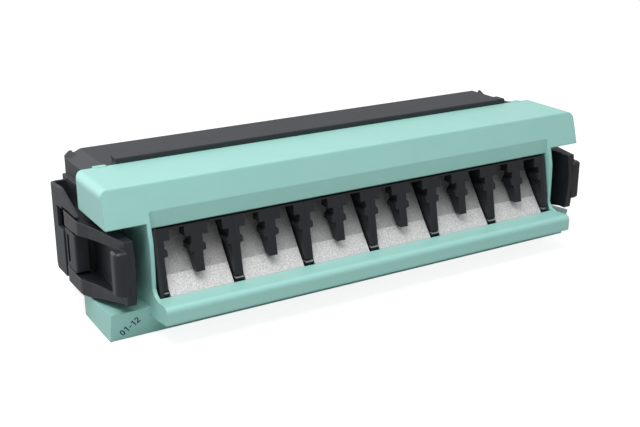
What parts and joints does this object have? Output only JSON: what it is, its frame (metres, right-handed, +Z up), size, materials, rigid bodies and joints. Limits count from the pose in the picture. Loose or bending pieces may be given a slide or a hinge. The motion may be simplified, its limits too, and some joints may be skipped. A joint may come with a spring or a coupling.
{
  "type": "fibre adapter pack",
  "caption": "Wide fibre adapter pack with a pale green bezel, raked duplex ports behind sprung steel shutters, and a squeeze latch at each end.",
  "frame": {"origin": "bottom centre of the whole pack's bounding box", "axes": "+Z up, -Y is the port front with the lip, +Y the rear of the housing, X along the row of ports"},
  "size_m": [0.0928, 0.0306, 0.0246],
  "materials": {
    "aqua": "fine matt moulding",
    "charcoal": "satin moulding",
    "black": "satin moulding",
    "shutter_steel": "bead blasted",
    "pin_steel": "ground",
    "spring_steel": "drawn wire"
  },
  "bodies": {
    "pack": {"front_bezel": "aqua", "rear_housing": "charcoal", "adapter_front_1": "black", "adapter_back_1": "black", "shutter_pin_1": "pin_steel", "adapter_front_2": "black", "adapter_back_2": "black", "shutter_pin_2": "pin_steel", "adapter_front_3": "black", "adapter_back_3": "black", "shutter_pin_3": "pin_steel", "adapter_front_4": "black", "adapter_back_4": "black", "shutter_pin_4": "pin_steel", "adapter_front_5": "black", "adapter_back_5": "black", "shutter_pin_5": "pin_steel", "adapter_front_6": "black", "adapter_back_6": "black", "shutter_pin_6": "pin_steel", "latch_pin_left": "pin_steel", "latch_pin_right": "pin_steel", "latch_spring_left": "spring_steel", "latch_spring_right": "spring_steel"},
    "shutter_1": {"shutter_1": "shutter_steel"},
    "shutter_2": {"shutter_2": "shutter_steel"},
    "shutter_3": {"shutter_3": "shutter_steel"},
    "shutter_4": {"shutter_4": "shutter_steel"},
    "shutter_5": {"shutter_5": "shutter_steel"},
    "shutter_6": {"shutter_6": "shutter_steel"},
    "latch_left": {"latch_left": "charcoal"},
    "latch_right": {"latch_right": "charcoal"}
  },
  "joints": [
    {"name": "shutter_1_hinge", "type": "hinge", "parent": "pack", "child": "shutter_1", "pos_m": [-0.03125, -0.01028, 0.00595], "axis": [-1, 0, 0], "range_deg": [0, 48], "stiffness_Nm_per_rad": 0.0002, "springref_deg": -28.65},
    {"name": "shutter_2_hinge", "type": "hinge", "parent": "pack", "child": "shutter_2", "pos_m": [-0.01875, -0.01028, 0.00595], "axis": [-1, 0, 0], "range_deg": [0, 48], "stiffness_Nm_per_rad": 0.0002, "springref_deg": -28.65},
    {"name": "shutter_3_hinge", "type": "hinge", "parent": "pack", "child": "shutter_3", "pos_m": [-0.00625, -0.01028, 0.00595], "axis": [-1, 0, 0], "range_deg": [0, 48], "stiffness_Nm_per_rad": 0.0002, "springref_deg": -28.65},
    {"name": "shutter_4_hinge", "type": "hinge", "parent": "pack", "child": "shutter_4", "pos_m": [0.00625, -0.01028, 0.00595], "axis": [-1, 0, 0], "range_deg": [0, 48], "stiffness_Nm_per_rad": 0.0002, "springref_deg": -28.65},
    {"name": "shutter_5_hinge", "type": "hinge", "parent": "pack", "child": "shutter_5", "pos_m": [0.01875, -0.01028, 0.00595], "axis": [-1, 0, 0], "range_deg": [0, 48], "stiffness_Nm_per_rad": 0.0002, "springref_deg": -28.65},
    {"name": "shutter_6_hinge", "type": "hinge", "parent": "pack", "child": "shutter_6", "pos_m": [0.03125, -0.01028, 0.00595], "axis": [-1, 0, 0], "range_deg": [0, 48], "stiffness_Nm_per_rad": 0.0002, "springref_deg": -28.65},
    {"name": "latch_left_hinge", "type": "hinge", "parent": "pack", "child": "latch_left", "pos_m": [-0.0453, 0.00575, 0.0107], "axis": [0, 0, 1], "range_deg": [0, 6], "stiffness_Nm_per_rad": 0.004, "springref_deg": -20.05},
    {"name": "latch_right_hinge", "type": "hinge", "parent": "pack", "child": "latch_right", "pos_m": [0.0453, 0.00575, 0.0107], "axis": [0, 0, -1], "range_deg": [0, 6], "stiffness_Nm_per_rad": 0.004, "springref_deg": -20.05}
  ]
}
